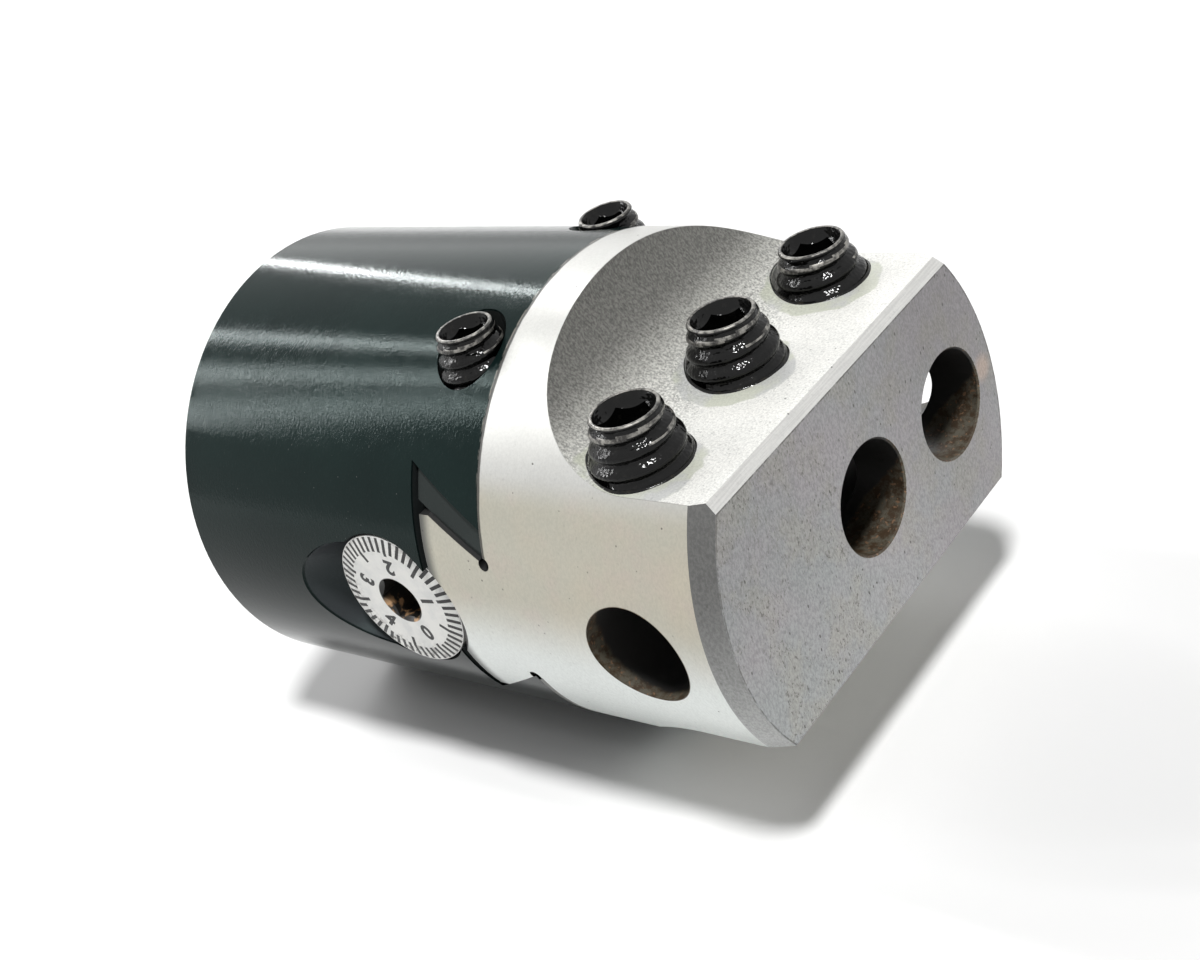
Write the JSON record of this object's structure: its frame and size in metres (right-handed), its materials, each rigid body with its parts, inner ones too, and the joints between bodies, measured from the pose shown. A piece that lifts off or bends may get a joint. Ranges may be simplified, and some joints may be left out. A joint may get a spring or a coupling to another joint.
{
  "type": "boring head",
  "caption": "Round boring head: a graduated screw feeds a dovetail slide that carries bores for boring bars, held by set screws, on a body with a threaded arbor socket.",
  "frame": {"origin": "centre of the arbor face, on the spindle axis", "axes": "+X along the spindle axis from the arbor face to the tool face, -Y the side with the dial, +Z the way the set screws point, up as pictured"},
  "size_m": [0.0728, 0.0508, 0.0508],
  "materials": {
    "black_oxide": "turned steel, black oxide",
    "satin_steel": "satin, ground",
    "dial_steel": "satin, pale",
    "bronze": "machined",
    "black_screw": "black oxide, oiled"
  },
  "bodies": {
    "head": {"body": "black_oxide", "gib": "black_oxide", "keeper_pin": "satin_steel"},
    "tool_slide": {"slide": "satin_steel", "feed_nut": "bronze"},
    "dial": {"feed_screw": "dial_steel"},
    "center_clamp": {"clamp_screw_center": "black_screw"},
    "offset_clamp": {"clamp_screw_offset": "black_screw"},
    "cross_clamp": {"clamp_screw_cross": "black_screw"},
    "near_gib_screw": {"gib_screw_near": "black_screw"},
    "far_gib_screw": {"gib_screw_far": "black_screw"}
  },
  "joints": [
    {"name": "dial_turn", "type": "hinge", "parent": "head", "child": "dial", "pos_m": [0.0299, 0, -0.0005], "axis": [0, 1, 0], "range_deg": [0, 9000]},
    {"name": "slide_feed", "type": "slide", "parent": "head", "child": "tool_slide", "axis": [0, 1, 0], "range_m": [0, 0.01588]},
    {"name": "center_clamp_travel", "type": "slide", "parent": "tool_slide", "child": "center_clamp", "axis": [0, 0, 1], "range_m": [-0.0055, 0.0055]},
    {"name": "offset_clamp_travel", "type": "slide", "parent": "tool_slide", "child": "offset_clamp", "axis": [0, 0, 1], "range_m": [-0.004, 0.0065]},
    {"name": "cross_clamp_travel", "type": "slide", "parent": "tool_slide", "child": "cross_clamp", "axis": [0, 0, 1], "range_m": [-0.0055, 0.0055]},
    {"name": "near_gib_screw_travel", "type": "slide", "parent": "head", "child": "near_gib_screw", "axis": [0, 0, 1], "range_m": [0, 0.005]},
    {"name": "far_gib_screw_travel", "type": "slide", "parent": "head", "child": "far_gib_screw", "axis": [0, 0, 1], "range_m": [0, 0.005]}
  ],
  "couplings": [
    {"joint": "dial_turn", "follows": "slide_feed", "rad_per_m": 9894.8}
  ]
}
